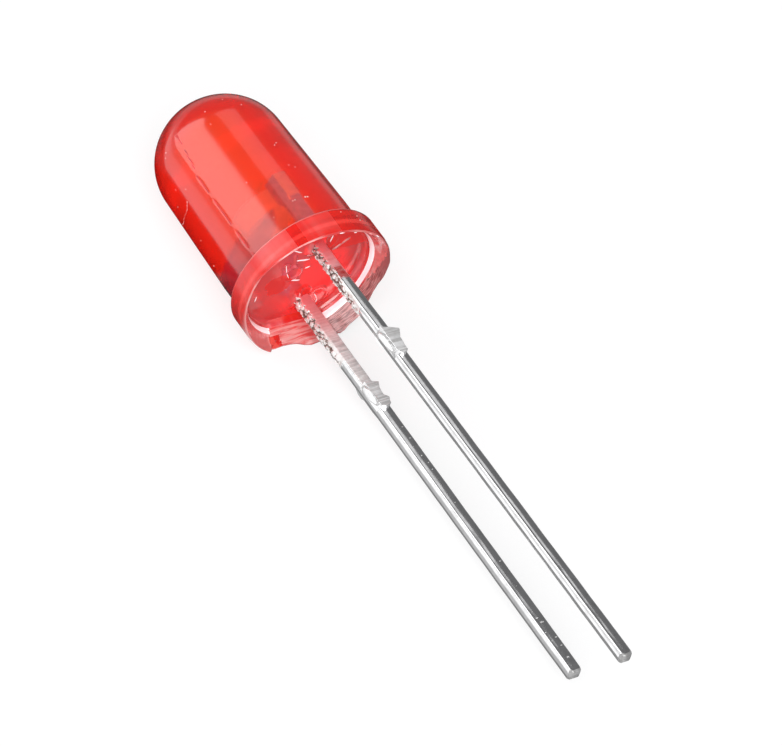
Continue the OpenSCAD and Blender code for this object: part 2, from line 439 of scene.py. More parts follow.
# The cathode lead: the shorter leg, which widens inside the lens into an anvil with a
# reflector cup at its top. The cup is coined from the same strip.
CUP_Z, CUP_R, CUP_DEPTH, CUP_H = 3.6, 0.62, 0.28, 0.8
CUP_MOUTH_R, CUP_FLOOR_R = 0.52, 0.28
LEAD_ROOT, NECK_Z, ANVIL_Z, ANVIL_W = 1.5, 2.1, 3.3, 0.53
INSIDE_EDGE = 0.07


def spun(profile, steps):
    """A turned piece from its half profile, given as radius and height."""
    bm = bmesh.new()
    verts = [bm.verts.new((r, 0, z)) for r, z in profile]
    for a, b in zip(verts, verts[1:]):
        bm.edges.new((a, b))
    bmesh.ops.spin(bm, geom=list(bm.verts) + list(bm.edges), cent=(0, 0, 0), axis=(0, 0, 1), dvec=(0, 0, 0),
                   angle=2 * math.pi, steps=steps, use_merge=True, use_duplicate=False)
    bmesh.ops.remove_doubles(bm, verts=bm.verts, dist=0.0004)
    bmesh.ops.recalc_face_normals(bm, faces=bm.faces)
    return bm


cathode = lead(
    CATHODE_X, CATHODE_W, CATHODE_L, SPLAY, seed=4.0, edge_r=0.06,
    front=[(-0.24, 0.036), (-0.09, 0), (0.06, 0), (0.24, 0.016)],
    lug_side=[(FRONT_Y - 0.02, -3.51), (-0.05, -3.53), (0.08, -3.56), (0.33, -3.67), (0.21, -3.89),
              (0.18, -4.23), (0.31, -4.36), (0.22, -4.62), (0.0, -4.72), (FRONT_Y - 0.02, -4.60)],
    facet=[(0.02, -3.66), (0.12, -3.53), (0.28, -3.58), (0.39, -3.85), (0.42, -4.35), (0.34, -4.55),
           (0.20, -4.50), (0.05, -4.10)],
    facet_tilt=0.10)
# a film of resin covers its upper side, from the lug up into the lens
paint_faces(cathode, FILMED, lambda c, n: -3.4 < c.z < CRUST_TOP and n.x > 0.7)
h = CATHODE_W / 2
# bare spots and scrapes on its upper side, by height, place across it and size
SPOTS = [(-5.61, 0.10, 0.036), (-6.13, 0.08, 0.028), (-6.50, -0.02, 0.022), (-6.94, 0.04, 0.038),
         (-7.28, 0.10, 0.026), (-7.58, 0.07, 0.034), (-8.30, -0.04, 0.024), (-9.10, 0.02, 0.024),
         (-11.80, 0.09, 0.034), (-12.90, 0.03, 0.024), (-14.03, -0.08, 0.030), (-14.30, -0.06, 0.050),
         (-14.50, 0.01, 0.070), (-14.92, -0.12, 0.030), (-15.20, 0.11, 0.045), (-15.30, -0.10, 0.036),
         (-15.56, 0.09, 0.036), (-16.05, 0.03, 0.050)]
for z, y, size in SPOTS:
    spot = bmesh.new()
    bmesh.ops.create_icosphere(spot, subdivisions=2, radius=size)
    for v in spot.verts:
        v.co *= 1 + 0.5 * noise.noise(v.co * 30 + Vector((z, 0, 0)))
        v.co = Vector((v.co.x * 0.012 / size, v.co.y, v.co.z * 0.5))
    bmesh.ops.translate(spot, verts=spot.verts, vec=(CATHODE_X + h + z * math.tan(SPLAY), STRIP_Y + y, z))
    paint_faces(spot, SHEARED)
    add_copy(cathode, spot)
anvil = stamp([
    (CATHODE_X - h, LEAD_ROOT), (CATHODE_X + h, LEAD_ROOT), (CATHODE_X + h, 1.9), (-0.3, 2.0), (0.3, 2.3),
    (CUP_R - 0.05, 2.75), (CUP_R - 0.05, ANVIL_Z), (-CUP_R + 0.05, ANVIL_Z), (CATHODE_X - ANVIL_W, 2.95),
    (CATHODE_X - ANVIL_W, 2.35), (CATHODE_X - h, NECK_Z)], STRIP_T, INSIDE_EDGE)
bmesh.ops.translate(anvil, vec=(0, STRIP_Y, 0), verts=anvil.verts)
paint_faces(anvil, SILVER)
# painted shade: the faces of the anvil towards the front take a darker violet copy of the silver
paint_faces(anvil, SHADED_SILVER, lambda c, n: n.y < -0.5)
add_copy(cathode, anvil)
foot_z = CUP_Z - CUP_H
cup = spun([(0, foot_z), (CUP_R - 0.03, foot_z), (CUP_R, foot_z + 0.05), (CUP_R, CUP_Z - 0.03),
            (CUP_R - 0.03, CUP_Z), (CUP_MOUTH_R, CUP_Z), (CUP_FLOOR_R, CUP_Z - CUP_DEPTH),
            (0, CUP_Z - CUP_DEPTH)], 48)
bmesh.ops.translate(cup, vec=(0, STRIP_Y, 0), verts=cup.verts)
paint_faces(cup, SILVER)
add_copy(cathode, cup)
finish_piece("cathode_leg", cathode, LEAD_METALS, "cathode_lead")

# The anode lead: the longer leg, which ends inside the lens in a post beside the cup. The
# post is stamped in one piece with the leg, and the gold wire is bonded to its top.
POST_IN, POST_Z = CUP_R + 0.23, CUP_Z + 0.05
POST_FOOT, POST_STEP = 2.4, 2.7
h = ANODE_W / 2
POST_OUT = ANODE_X + h + 0.12
anode = lead(
    ANODE_X, ANODE_W, ANODE_L, -SPLAY, seed=8.0, edge_r=0.10,
    front=[(-0.235, 0.072), (0.005, 0), (0.10, 0), (0.235, 0.01)],
    lug_side=[(FRONT_Y - 0.02, -3.40), (-0.07, -3.46), (0.11, -3.52), (0.42, -3.68), (0.25, -4.03),
              (0.21, -4.28), (0.19, -4.60), (-0.03, -4.72), (FRONT_Y - 0.02, -4.58)],
    facet=[(-0.03, -3.54), (0.07, -3.41), (0.22, -3.46), (0.32, -3.75), (0.34, -4.28), (0.27, -4.52),
           (0.14, -4.46), (0.0, -4.00)],
    facet_tilt=-0.05)
# the film on its upper side ends just below the lens
paint_faces(anode, FILMED, lambda c, n: -0.42 < c.z < CRUST_TOP and n.x > 0.7)
post = stamp([
    (ANODE_X - h, LEAD_ROOT), (ANODE_X + h, LEAD_ROOT), (ANODE_X + h, POST_FOOT), (POST_OUT, POST_STEP),
    (POST_OUT, POST_Z), (POST_IN, POST_Z), (POST_IN, POST_STEP), (ANODE_X - h, POST_FOOT)],
    STRIP_T, INSIDE_EDGE)
# the edge of the painted shade on it is uneven, so its faces are small
slice_piece(post, (0, 0, 1), LEAD_ROOT + SMALL_CUT, POST_Z - SMALL_CUT, SMALL_CUT)
slice_piece(post, (1, 0, 0), POST_IN + SMALL_CUT, POST_OUT - 0.02, SMALL_CUT)
bmesh.ops.translate(post, vec=(0, STRIP_Y, 0), verts=post.verts)
post.normal_update()
paint_faces(post, SILVER)
# painted shade: the post's front faces, and its faces towards the anode low down, take a darker violet copy
# of the silver
paint_faces(post, SHADED_SILVER, lambda c, n: n.y < -0.5 or n.x > 0.5 and c.z < 2.55 + 0.3 * noise.noise(c * 5))
add_copy(anode, post)
finish_piece("anode_leg", anode, LEAD_METALS, "anode_lead")

# The chip in the cup: a sawn semiconductor die on a dab of silver paste, with a gold wire
# bonded from its top to the post.


def grain_group():
    """A fine even grain between two tones, duller where it is lighter."""
    group, nodes, link = new_group(
        "fine_grain", [("Dark", "Color"), ("Light", "Color"), ("Rough", "Float"), ("Grain Scale", "Vector")],
        [("Color", "Color"), ("Roughness", "Float")])
    given, out = nodes.new("NodeGroupInput"), nodes.new("NodeGroupOutput")
    grain = noise_node(nodes, link, stretched_place(nodes, link, given.outputs["Grain Scale"]), 1)
    link(mix_colours(nodes, link, grain, given.outputs["Dark"], given.outputs["Light"]), out.inputs["Color"])
    uneven = ramp_node(nodes, link, grain, 0, 1, 0.7, 1.3)
    link(maths(nodes, link, "MULTIPLY", uneven, given.outputs["Rough"]), out.inputs["Roughness"])
    return group


FINE_GRAIN = grain_group()


def grained(name, colour, rough, metallic, scale):
    """A plain material with a fine grain."""
    material, nodes, link, gloss = shader(name)
    gloss.inputs["Metallic"].default_value = metallic
    grain = placed_group(nodes, FINE_GRAIN, {
        "Dark": (*(c * 0.7 for c in colour), 1), "Light": (*colour, 1), "Rough": rough,
        "Grain Scale": (scale, scale, scale)})
    link(grain.outputs["Color"], gloss.inputs["Base Color"])
    link(grain.outputs["Roughness"], gloss.inputs["Roughness"])
    return material


for node, name, colour, rough, metallic, scale in (
    ("led_die", "die_compound", (0.20, 0.17, 0.13), 0.35, 0, 9000),
    ("die_attach", "silver_paste", (0.70, 0.69, 0.66), 0.45, 1, 20000),
    ("bond_wire", "gold_wire", (0.95, 0.70, 0.32), 0.2, 1, 6000),
):
    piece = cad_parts[node]
    piece.data.materials.clear()
    piece.data.materials.append(grained(name, colour, rough, metallic, scale))

# The lens: clear epoxy tinted red, cast in a mould round the lead frame, dome down. The
# mould shapes the dome, the barrel and the flange with its flat; the open side was the
# top of the casting, so the resin sank there into a hollow with a thin ragged rim.
LENS_H = -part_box("lens")[0].x / MM
BARREL_R = -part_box("lens")[0].z / MM
FLANGE_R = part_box("lens")[1].z / MM
FLANGE_H = 0.97
DOME_R, DOME_H = 2.39, 2.32
LAND_H = 1.2
LIP = 0.06
FLOOR_R, FILLET = 2.38, 0.20
WALL_FOOT = 0.50
DOME_Z = LENS_H - DOME_H
LAND_TOP = FLANGE_H + LAND_H
# how far in from the flat the hollow's wall stands at its foot, and how much more above
FLAT_WALL, FLAT_SLOPE = 0.34, 0.10
# heights in the hollow where its pale band, a painted highlight, starts, and where its floor does
BAND_Z, FLOOR_EDGE = 0.46, 0.61
# the height at which the rim's raggedness has died out
RAGGED_TOP = 0.6
# the mould's parting line runs between these heights
SEAM_FOOT, SEAM_TOP = 1.0, 7.4
STEPS = 320
# the finishes of the resin, in the order of lens_resins
TINTED, FLANGE, HOLLOW, SCORED_AND_HIGHLIT, THIN_GLOW, DUST, GRAZED, POLISHED, SEAM, DEEP = range(10)

# heights of the ragged rim round the flange, in degrees from the anode's side
RIM = [(-180, -0.20), (-140, -0.20), (-134, -0.19), (-100, 0.02), (-63, 0.15), (-57, 0.13), (-51, 0.11),
       (-46, 0.08), (-36, 0.03), (-26, 0.01), (-14, -0.04), (-3, -0.09), (10, -0.11), (24, -0.14),
       (53, -0.20), (65, -0.13), (73, -0.10), (79, -0.11), (89, -0.04), (96, -0.01), (105, 0.07),
       (112, 0.06), (118, -0.01), (123, -0.05), (133, -0.17), (141, -0.17), (146, -0.24), (180, -0.24)]
# heights of the flash along the foot of the flat, from one corner to the other
FLASH = [(-1.44, -0.05), (-1.29, -0.03), (-1.10, -0.05), (-0.76, -0.02), (-0.49, -0.04), (-0.24, -0.09),
         (0, -0.23), (0.23, -0.31), (0.50, -0.28), (0.84, -0.25), (1.36, -0.19)]
# rings on the floor of the hollow, where bubbles broke: X, Y, radius, height and width
RINGS = [(-0.95, 0.22, 0.20, 0.045, 0.05), (-1.45, 0.85, 0.42, 0.034, 0.05), (0.10, -0.50, 0.30, 0.045, 0.06),
         (0.55, -0.85, 0.12, 0.038, 0.05), (1.25, 0.62, 0.34, 0.034, 0.05)]


def run(start, end, count):
    """Evenly spaced points after start, up to end."""
    return [tuple(a + (b - a) * i / count for a, b in zip(start, end)) for i in range(1, count + 1)]


def lens_profile():
    """Half profile of the lens from the top of the dome round to the middle of the hollow."""
    points = [(0, LENS_H)] + [(DOME_R * math.sin(a), DOME_Z + DOME_H * math.cos(a))
                              for a in (math.radians(2.5 * i) for i in range(1, 37))]
    points += run(points[-1], (BARREL_R, LAND_TOP), 34)
    points += run(points[-1], (BARREL_R, FLANGE_H + 0.10), 10)
    points += [(BARREL_R + 0.01, FLANGE_H + 0.04), (BARREL_R + 0.04, FLANGE_H + 0.01)]
    bend = 0.06
    points += [(FLANGE_R - bend + bend * math.sin(a), FLANGE_H - bend + bend * math.cos(a))
               for a in (math.radians(15 * i) for i in range(7))]
    points += run(points[-1], (FLANGE_R, 0.20), 12)
    points += [(FLANGE_R - 0.012, 0.12), (FLANGE_R - 0.024, 0.05), (FLANGE_R - 0.045, 0.012)]
    rim = FLANGE_R - LIP
    points += [(rim, 0), (rim - 0.03, 0.03), (rim - 0.06, 0.10)]
    points += run(points[-1], (FLOOR_R + 0.035, WALL_FOOT), 7)
    points += run(points[-1], (FLOOR_R, RECESS - FILLET), 3)
    points += [(FLOOR_R - FILLET * (1 - math.cos(a)), RECESS - FILLET * (1 - math.sin(a)))
               for a in (math.radians(10 * i) for i in range(1, 10))]
    points += run(points[-1], (0, RECESS), 44)
    return points


def resin_floor(x, y):
    """How far the resin stands out of the floor of the hollow, drawn up round the leads."""
    rise = 0.0
    for lead_x, w in ((CATHODE_X, CATHODE_W), (ANODE_X, ANODE_W)):
        dx = max(abs(x - lead_x) - w / 2, 0)
        dy = max(abs(y - STRIP_Y) - STRIP_T / 2, 0)
        rise += 0.17 * math.exp(-math.hypot(dx, dy) / 0.12)
    for ring_x, ring_y, radius, height, width in RINGS:
        off = math.hypot(x - ring_x, y - ring_y) - radius
        rise += height * math.exp(-(off / width) ** 2)
    # and a ridge where the resin shrank as it set
    rise += 0.03 * math.exp(-((y + 0.35 + 0.25 * x) / 0.05) ** 2) * (1 if 0.3 < x < 1.0 else 0)
    return rise + 0.012 * noise.noise(Vector((x, y, 3.3)) * 1.3)


def seam_turn(z):
    """Where the mould's parting line runs at a height, in degrees from the anode's side."""
    return -60 + (0 if z < 5 else 5 * min((z - 5) / 1.2, 1)) - 0.8 * noise.noise(Vector((2, 7, z * 1.5)))


def seam_depth(z):
    """How deep the parting line is at a height, as a share of its deepest."""
    return max(0.25 + noise.noise(Vector((5, 1, z * 2.6))), 0) * min((SEAM_TOP - z) / 0.5, 1)


def lens_finish(c):
    """Which finish the resin has on the face whose middle is c."""
    r = math.hypot(c.x, c.y)
    turn = math.degrees(math.atan2(c.y, c.x))
    grazed = 60 < turn < 152 and c.z < min(0.42, 0.42 * (turn - 60) / 52) + 0.04 * noise.noise(c * 6)
    if c.z < RECESS + 0.001 and r < FLANGE_R - LIP:
        flat_wall = c.x < -2.15
        if c.z > FLOOR_EDGE:
            # the floor is clean and clear on one side, and in a round patch in the middle
            edge = 0.15 * noise.noise(c * 3)
            clear = c.y > 0.40 and c.x > 0.75 + edge or math.hypot(c.x + 0.3, c.y + 1.0) < 0.45 + edge
            return DEEP if clear else HOLLOW
        if flat_wall and -1.10 < c.y < 0.75 and c.z > (BAND_Z if c.y < -0.8 else 0.15):
            return SCORED_AND_HIGHLIT
        # the pale band at the foot of the wall is a painted highlight, which also glows a little
        if c.z > BAND_Z:
            return THIN_GLOW
        if grazed:
            return GRAZED
        return POLISHED if flat_wall and -1.25 < c.y < -0.80 and c.z < 0.40 else SCORED_AND_HIGHLIT
    # the faces along the parting line are painted dark red, a painted shade along its groove
    on_seam = SEAM_FOOT < c.z < SEAM_TOP - 0.5 and abs(turn - seam_turn(c.z)) < 0.6
    if on_seam and r > BARREL_R - 0.2 and seam_depth(c.z) > 0.12:
        return SEAM
    if c.z >= FLANGE_H:
        return TINTED
    if grazed:
        return GRAZED
    # the flange's upper and lower edges take the pale scored finish, a painted highlight line along each
    if not 0.045 < c.z < FLANGE_H - 0.06:
        return SCORED_AND_HIGHLIT
    return POLISHED if -29 < turn < -21 or 4 < turn < 52 else FLANGE


lens = spun(lens_profile(), STEPS)
for f in lens.faces:
    f.material_index = lens_finish(f.calc_center_median())
for v in lens.verts:
    x, y, z = v.co
    r = math.hypot(x, y)
    turn = math.degrees(math.atan2(y, x))
    outward = Vector((x, y, 0)).normalized()
    inside = z <= RECESS + 0.001 and r < FLANGE_R - LIP + 0.001
    # the flat, outside and in the hollow
    if z < FLANGE_H + 0.06 and not inside:
        v.co.x = max(x, -BARREL_R)
    elif inside:
        limit = -BARREL_R + LIP + (FLAT_WALL - LIP) * min(z / WALL_FOOT, 1)
        if z > WALL_FOOT:
            limit += FLAT_SLOPE * (z - WALL_FOOT) / (RECESS - WALL_FOOT)
        v.co.x = max(x, limit)
    # the ragged rim, and the score in the wall of the hollow where the resin crept as it set
    if z < RAGGED_TOP and r > FLOOR_R - FILLET:
        ragged = along(FLASH, y) if x < -BARREL_R * 0.96 and abs(y) < 1.4 else along(RIM, turn)
        v.co.z += ragged * (1 - z / RAGGED_TOP)
        if inside and 0.05 < z:
            score = noise.noise(Vector((turn * 0.02, z * 22, 1.0)))
            score += 0.5 * noise.noise(Vector((turn * 0.3, z * 9, 4.0)))
            v.co -= outward * 0.012 * score * min(z / 0.1, 1) * min((RAGGED_TOP - z) / 0.1, 1)
    if inside and z > RECESS - 0.002 and r < FLOOR_R:
        v.co.z -= resin_floor(x, y)
    # the mould's parting line, a fine uneven groove, and the slight waves of the outside
    if not inside and r > 0.2:
        if SEAM_FOOT < z < SEAM_TOP:
            v.co -= outward * 0.020 * seam_depth(z) * math.exp(-((turn - seam_turn(z)) / 0.9) ** 2)
        wave = 0.004 * noise.noise(Vector((x, y, (z - 4) * 0.25)) * 1.2)
        wave += 0.0009 * noise.noise(Vector((x * 2.2, y * 2.2, z * 1.6))) * (1.6 if z < 4.2 else 0.7)
        v.co += outward * wave

# dust and nicks on the outside, by turn from the anode's side, height and size
SPECKS = [(-72, 6.78, 0.022), (-75, 6.65, 0.018), (-76, 5.14, 0.018), (-83, 4.83, 0.022), (-98, 5.23, 0.018),
          (12, 4.63, 0.020), (9, 4.54, 0.022), (12, 3.39, 0.016), (8, 3.52, 0.016), (-23, 6.94, 0.020),
          (-26, 6.32, 0.018), (-31, 3.52, 0.020), (-2, 7.20, 0.016), (8, 6.66, 0.018), (-10, 1.98, 0.022),
          (-8, 1.98, 0.026), (1, 1.97, 0.040), (3, 1.96, 0.034), (-89, 4.70, 0.016), (-86, 4.78, 0.014),
          (-105, 2.63, 0.024), (-98, 3.58, 0.018), (-86, 5.56, 0.016), (-30, 1.75, 0.022), (14, 0.78, 0.020),
          (27, 0.61, 0.026), (27, 0.41, 0.022), (-111, 4.89, 0.020)]


def outside_r(z):
    """Radius of the lens at a height."""
    if z < FLANGE_H:
        return FLANGE_R
    if z < LAND_TOP:
        return BARREL_R
    if z > DOME_Z:
        return DOME_R * math.sqrt(1 - ((z - DOME_Z) / DOME_H) ** 2)
    return BARREL_R + (DOME_R - BARREL_R) * (z - LAND_TOP) / (DOME_Z - LAND_TOP)


# a hair of a scratch on the side, as a row of nicks
SPECKS += [(-83.3 - 0.6 * i, 4.80 - 0.013 * i, 0.011) for i in range(9)]
SPECKS += [(-88.5 - 2.0 * i, 4.68 + 0.015 * i + 0.02 * math.sin(2.1 * i), 0.012) for i in range(11)]

for i, (turn, z, size) in enumerate(SPECKS):
    a = math.radians(turn)
    speck = bmesh.new()
    bmesh.ops.create_icosphere(speck, subdivisions=2, radius=size * 0.8)
    for v in speck.verts:
        v.co *= 1 + 0.5 * noise.noise(v.co * 40 + Vector((i, 0, 0)))
    r = outside_r(z)
    bmesh.ops.translate(speck, vec=(r * math.cos(a), r * math.sin(a), z), verts=speck.verts)
    paint_faces(speck, DUST)
    add_copy(lens, speck)

# threads of half set resin on the floor of the hollow, from end to end, how thick, and
# their finish; and flecks of dry resin on the rim. The pale ones carry a painted glow, and
# the last three lie where a lead's reflection falls on the floor, a painted reflection
THREADS = [((0.72, -0.60), (0.58, 0.07), 0.026, THIN_GLOW), ((-0.26, -0.54), (-0.36, -0.08), 0.024, THIN_GLOW),
           ((0.17, -0.02), (0.23, 0.17), 0.020, THIN_GLOW), ((1.27, -0.80), (1.03, -0.31), 0.024, THIN_GLOW),
           ((-0.89, -1.78), (-0.62, -1.75), 0.018, THIN_GLOW), ((0.63, -0.90), (0.22, -0.78), 0.016, THIN_GLOW),
           ((0.22, -0.78), (-0.17, -0.57), 0.016, THIN_GLOW), ((-1.30, 0.73), (-1.61, 0.91), 0.018, THIN_GLOW),
           ((-1.61, 0.91), (-1.81, 0.91), 0.016, THIN_GLOW), ((1.56, 0.78), (1.18, 0.72), 0.020, THIN_GLOW),
           ((0.74, 0.90), (0.96, 1.27), 0.055, SCORED_AND_HIGHLIT), ((0.94, 1.23), (1.17, 1.56), 0.050, SCORED_AND_HIGHLIT)]
RIM_FLECKS = [((2.75, 0.08), (2.73, 0.32), 0.022), ((2.62, 0.70), (2.59, 0.82), 0.014),
              ((2.40, 1.34), (2.31, 1.49), 0.014), ((2.21, 1.66), (2.08, 1.82), 0.018)]


def drawn_out(start, end, z, size, index):
    """A drop of resin drawn out between two places, at a height."""
    a, b = Vector(start), Vector(end)
    middle = (a + b) / 2
    drop = bmesh.new()
    bmesh.ops.create_icosphere(drop, subdivisions=2, radius=size)
    for v in drop.verts:
        v.co.x *= (b - a).length / 2 / size
        v.co.y += size * noise.noise(Vector((v.co.x * 5, middle.x, middle.y)))
    bmesh.ops.rotate(drop, verts=drop.verts, cent=(0, 0, 0),
                     matrix=Matrix.Rotation(math.atan2(b.y - a.y, b.x - a.x), 3, "Z"))
    bmesh.ops.translate(drop, vec=(middle.x, middle.y, z), verts=drop.verts)
    paint_faces(drop, index)
    add_copy(lens, drop)


for start, end, size, index in THREADS:
    middle = (Vector(start) + Vector(end)) / 2
    drawn_out(start, end, RECESS - resin_floor(middle.x, middle.y), size, index)
for start, end, size in RIM_FLECKS:
    turn = math.degrees(math.atan2(start[1], start[0]))
    drawn_out(start, end, along(RIM, turn) + 0.01, size, THIN_GLOW)


def resin_group():
    """Cured resin: soft patches of two tones, with a gloss that changes a little."""
    group, nodes, link = new_group(
        "resin_patches",
        [("First", "Color"), ("Second", "Color"), ("Rough", "Float"), ("Patch Scale", "Vector")],
        [("Color", "Color"), ("Roughness", "Float")])
    given, out = nodes.new("NodeGroupInput"), nodes.new("NodeGroupOutput")
    patches = noise_node(nodes, link, stretched_place(nodes, link, given.outputs["Patch Scale"]), 1, 3)
    mixed = ramp_node(nodes, link, patches, 0.38, 0.62, smooth=True)
    tone = mix_colours(nodes, link, mixed, given.outputs["First"], given.outputs["Second"])
    link(tone, out.inputs["Color"])
    uneven = ramp_node(nodes, link, patches, 0, 1, 0.8, 1.2)
    link(maths(nodes, link, "MULTIPLY", uneven, given.outputs["Rough"]), out.inputs["Roughness"])
    return group


RESIN_PATCHES = resin_group()


def resin(name, tones, transmission, rough, coat, coat_rough, patch_scale):
    """Tinted epoxy of one finish. Tones are its two colours where it faces the eye, the
    colour where it turns, and that where it turns away."""
    material, nodes, link, gloss = shader(name)
    for socket, value in (("IOR", 1.54), ("Transmission Weight", transmission), ("Coat Weight", coat),
                          ("Coat Roughness", coat_rough), ("Coat IOR", 1.5)):
        gloss.inputs[socket].default_value = value
    patches = placed_group(nodes, RESIN_PATCHES, {
        "First": (*tones[0], 1), "Second": (*tones[1], 1), "Rough": rough, "Patch Scale": patch_scale})
    # painted light and shade: the resin is lighter and more orange where it faces the eye, for light gathered
    # in its middle, and darker where it turns away, a painted shade at its edges
    facing = nodes.new("ShaderNodeLayerWeight")
    facing.inputs["Blend"].default_value = 0.35
    turning = ramp_node(nodes, link, facing.outputs["Facing"], 0.12, 0.32, smooth=True)
    turned = ramp_node(nodes, link, facing.outputs["Facing"], 0.32, 0.90, smooth=True)
    tone = mix_colours(nodes, link, turning, patches.outputs["Color"], tones[2])
    link(mix_colours(nodes, link, turned, tone, tones[3]), gloss.inputs["Base Color"])
    link(patches.outputs["Roughness"], gloss.inputs["Roughness"])
    absorb = nodes.new("ShaderNodeVolumeAbsorption")
    absorb.inputs["Color"].default_value = (1, 0.36, 0.24, 1)
    absorb.inputs["Density"].default_value = 380
    link(absorb.outputs["Volume"], nodes["Material Output"].inputs["Volume"])
    return material


lens_resins = [
    resin("tinted_epoxy", [(1.0, 0.12, 0.024), (1.0, 0.09, 0.024), (0.88, 0.035, 0.02), (0.68, 0.016, 0.015)],
          transmission=0.80, rough=0.21, coat=1, coat_rough=0.025, patch_scale=(60, 500, 500)),
    resin("flange_epoxy", [(1.0, 0.12, 0.11), (1.0, 0.03, 0.022), (1.0, 0.07, 0.06), (0.90, 0.05, 0.05)],
          transmission=0.50, rough=0.35, coat=0.35, coat_rough=0.12, patch_scale=(100, 1300, 1300)),
    resin("hollow_epoxy", [(1.0, 0.20, 0.23), (0.96, 0.025, 0.02), (1.0, 0.08, 0.08), (0.95, 0.04, 0.04)],
          transmission=0.48, rough=0.18, coat=1, coat_rough=0.03, patch_scale=(900, 900, 900)),
    resin("scored_epoxy_and_highlight", [(1.0, 0.46, 0.44), (0.86, 0.08, 0.08), (1.0, 0.26, 0.25), (0.95, 0.25, 0.25)],
          transmission=0.30, rough=0.25, coat=1, coat_rough=0.08, patch_scale=(10000, 900, 900)),
    resin("thin_epoxy_with_glow", [(1.0, 0.93, 0.95), (1.0, 0.50, 0.55), (1.0, 0.88, 0.90), (1.0, 0.84, 0.86)],
          transmission=0.0, rough=0.25, coat=1, coat_rough=0.05, patch_scale=(800, 800, 800)),
    grained("dust", (0.95, 0.70, 0.66), rough=0.6, metallic=0, scale=30000),
    resin("grazed_epoxy", [(0.70, 0.27, 0.26), (0.26, 0.05, 0.05), (0.46, 0.12, 0.12), (0.50, 0.14, 0.14)],
          transmission=0.15, rough=0.35, coat=0.6, coat_rough=0.15, patch_scale=(34000, 2600, 2600)),
    resin("polished_flange", [(1.0, 0.035, 0.02), (0.95, 0.025, 0.02), (0.92, 0.03, 0.02), (0.7, 0.02, 0.02)],
          transmission=0.60, rough=0.12, coat=0.3, coat_rough=0.10, patch_scale=(100, 900, 900)),
    resin("parting_line", [(0.80, 0.02, 0.02), (0.45, 0.01, 0.01), (0.70, 0.02, 0.02), (0.50, 0.01, 0.01)],
          transmission=0.20, rough=0.40, coat=0.4, coat_rough=0.30, patch_scale=(3000, 3000, 3000)),
    resin("deep_hollow", [(1.0, 0.03, 0.02), (1.0, 0.02, 0.015), (0.95, 0.03, 0.025), (0.90, 0.03, 0.02)],
          transmission=0.12, rough=0.15, coat=0.2, coat_rough=0.05, patch_scale=(900, 900, 900)),
]
# a painted glow: the thin resin gives out a pale light of its own, standing in for light that the tinted
# resin gathers and lets out where it thins
gloss = lens_resins[THIN_GLOW].node_tree.nodes["Principled BSDF"]
gloss.inputs["Emission Color"].default_value = (1.0, 0.90, 0.92, 1)
gloss.inputs["Emission Strength"].default_value = 0.40
finish_piece("lens_body", lens, lens_resins, "lens", smooth_angle=35)

# The studio: a pale table, two long softboxes behind the part and a soft fill above the
# camera. What lies beyond the table is white to the eye but gives only a dim light.
FLOOR_Z = -BARREL_R * MM
EDGE_W = 0.018


def place_lamp(name, place, size, strength):
    """A white rectangular lamp that shines along its own -Z, with the brightness given."""
    lamp = bpy.data.lights.new(name, "AREA")
    lamp.shape = "RECTANGLE"
    lamp.size, lamp.size_y = size
    lamp.energy = strength * math.pi * size[0] * size[1]
    holder = bpy.data.objects.new(name, lamp)
    holder.matrix_world = place
    holder.visible_camera = False
    bpy.context.scene.collection.objects.link(holder)


def aimed(place, aim):
    """The place of a lamp or camera that looks from one point at another."""
    return Matrix.Translation(place) @ (aim - place).to_track_quat("-Z", "Y").to_matrix().to_4x4()


def softbox(name, corners, distance, strength):
    """A lamp that fills the directions between four corners, seen from the part."""
    middle = sum((Vector(c).normalized() for c in corners), Vector()).normalized()
    hit = [Vector(c) * (distance / Vector(c).dot(middle)) for c in corners]
    across = ((hit[1] - hit[0]) + (hit[2] - hit[3])) / 2
    up = ((hit[3] - hit[0]) + (hit[2] - hit[1])) / 2
    y = middle.cross(across.normalized()).normalized()
    place = Matrix((y.cross(middle), y, middle)).transposed().to_4x4()
    place.translation = sum(hit, Vector()) / 4
    place_lamp(name, place, (across.length, up.length), strength)
    return place, across.length, up.length


place, across, up = softbox(
    "main_softbox", [(-0.93, -0.37, 0.02), (-0.20, -0.97, 0.05), (-0.20, -0.55, 0.80), (-0.80, -0.285, 0.52)],
    0.5, 1.65)
# its fabric is dimmer along the upper edge
edge = up / 2
for strength in (1.10, 0.55):
    along_edge = place @ Matrix.Translation((0, edge + EDGE_W / 2, 0))
    place_lamp("softbox_edge", along_edge, (across, EDGE_W), strength)
    edge += EDGE_W
softbox(
    "second_softbox", [(-0.78, 0.10, 0.62), (-0.45, 0.00, 0.89), (-0.45, 0.52, 0.72), (-0.70, 0.42, 0.58)],
    0.5, 0.55)
place_lamp("fill", aimed(Vector((0.35, -0.30, 0.42)), Vector()), (0.5, 0.5), 5.0)

table_mesh = bmesh.new()
bmesh.ops.create_grid(table_mesh, x_segments=8, y_segments=8, size=1.5)
bmesh.ops.translate(table_mesh, vec=(0, 0, FLOOR_Z), verts=table_mesh.verts)
mesh = bpy.data.meshes.new("table_top")
table_mesh.to_mesh(mesh)
table_mesh.free()
table_top = bpy.data.objects.new("table_top", mesh)
bpy.context.scene.collection.objects.link(table_top)
paper, nodes, link, gloss = shader("white_paper")
gloss.inputs["Base Color"].default_value = (0.30, 0.30, 0.30, 1)
gloss.inputs["Roughness"].default_value = 0.9
gloss.inputs["Specular IOR Level"].default_value = 0.0
# the eye sees it white, directly and through the lens
path = nodes.new("ShaderNodeLightPath")
seen = maths(nodes, link, "MAXIMUM", path.outputs["Is Camera Ray"], path.outputs["Is Transmission Ray"])
gloss.inputs["Emission Color"].default_value = (1, 1, 1, 1)
link(maths(nodes, link, "MULTIPLY", seen, 0.72), gloss.inputs["Emission Strength"])
